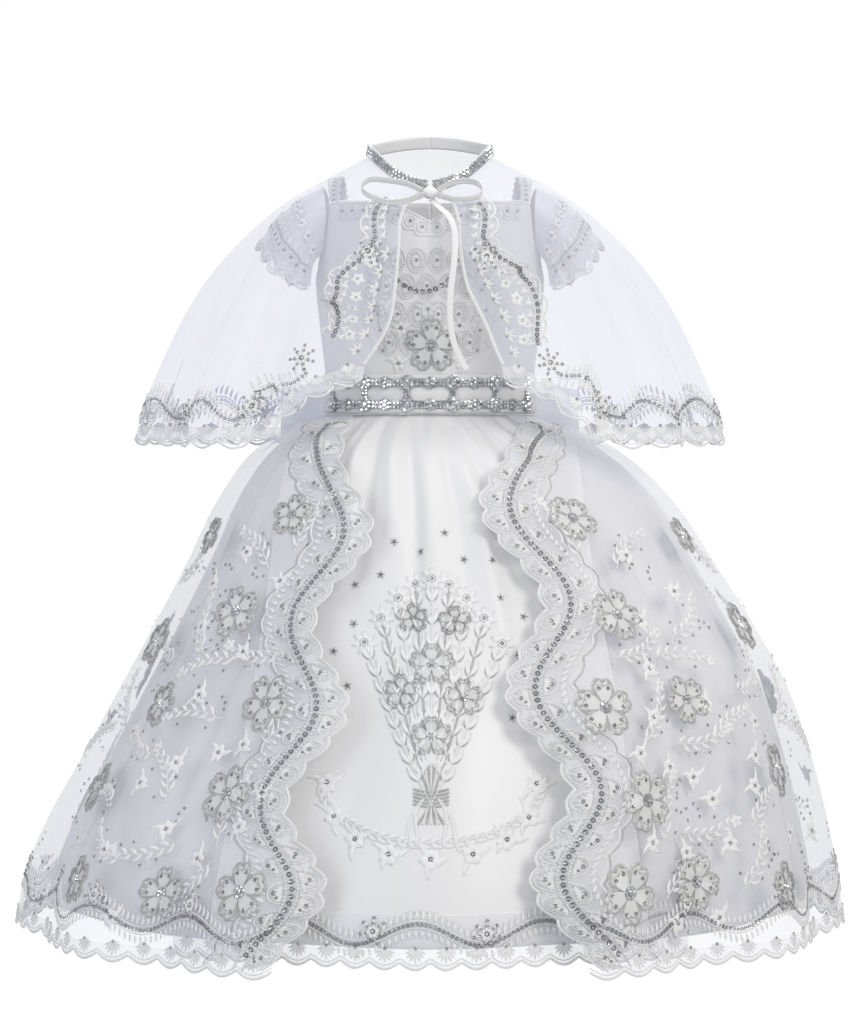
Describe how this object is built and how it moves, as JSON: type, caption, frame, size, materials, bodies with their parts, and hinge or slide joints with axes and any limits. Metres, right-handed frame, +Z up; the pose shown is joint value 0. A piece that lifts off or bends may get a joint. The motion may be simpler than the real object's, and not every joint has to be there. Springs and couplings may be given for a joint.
{
  "type": "christening gown with cape",
  "caption": "Toddler's white christening gown: satin bodice and skirt, waved lace on a sheer overskirt, stone-set belt, cap sleeves and a sheer shoulder cape with a ribbon tie.",
  "frame": {"origin": "midway between the tops of the two shoulder straps, where the wearer carries the gown", "axes": "+Z up, the gown's front faces -Y, +X is the wearer's left"},
  "size_m": [0.7217, 0.6712, 0.6921],
  "materials": {
    "satin": "soft satin",
    "organza": "sheer organza",
    "lace": "embroidered lace",
    "stones": "glass stones in silver",
    "ribbon": "satin ribbon"
  },
  "bodies": {
    "root": {"bodice_front": "satin", "bodice_back_left": "satin", "bodice_back_right": "satin", "sleeve_satin_left": "satin", "sleeve_satin_right": "satin", "belt_band": "satin", "skirt_front": "satin", "skirt_back_left": "satin", "skirt_back_right": "satin", "sash_knot": "organza", "sash_loop_left": "organza", "sash_loop_right": "organza", "sash_end_left": "organza", "sash_end_right": "organza", "overskirt_left": "organza", "overskirt_right": "organza", "cape": "organza", "bodice_flower": "lace", "strap_left": "lace", "strap_right": "lace", "sleeve_lace_left": "lace", "sleeve_lace_right": "lace", "skirt_hem_lace": "lace", "overskirt_hem_left": "lace", "overskirt_hem_right": "lace", "border_left": "lace", "border_right": "lace", "cape_hem_left": "lace", "cape_hem_right": "lace", "belt_trim": "stones", "collar_left": "stones", "collar_right": "stones", "tie_knot": "ribbon", "tie_loop_left": "ribbon", "tie_loop_right": "ribbon", "tie_end": "ribbon"}
  },
  "joints": []
}
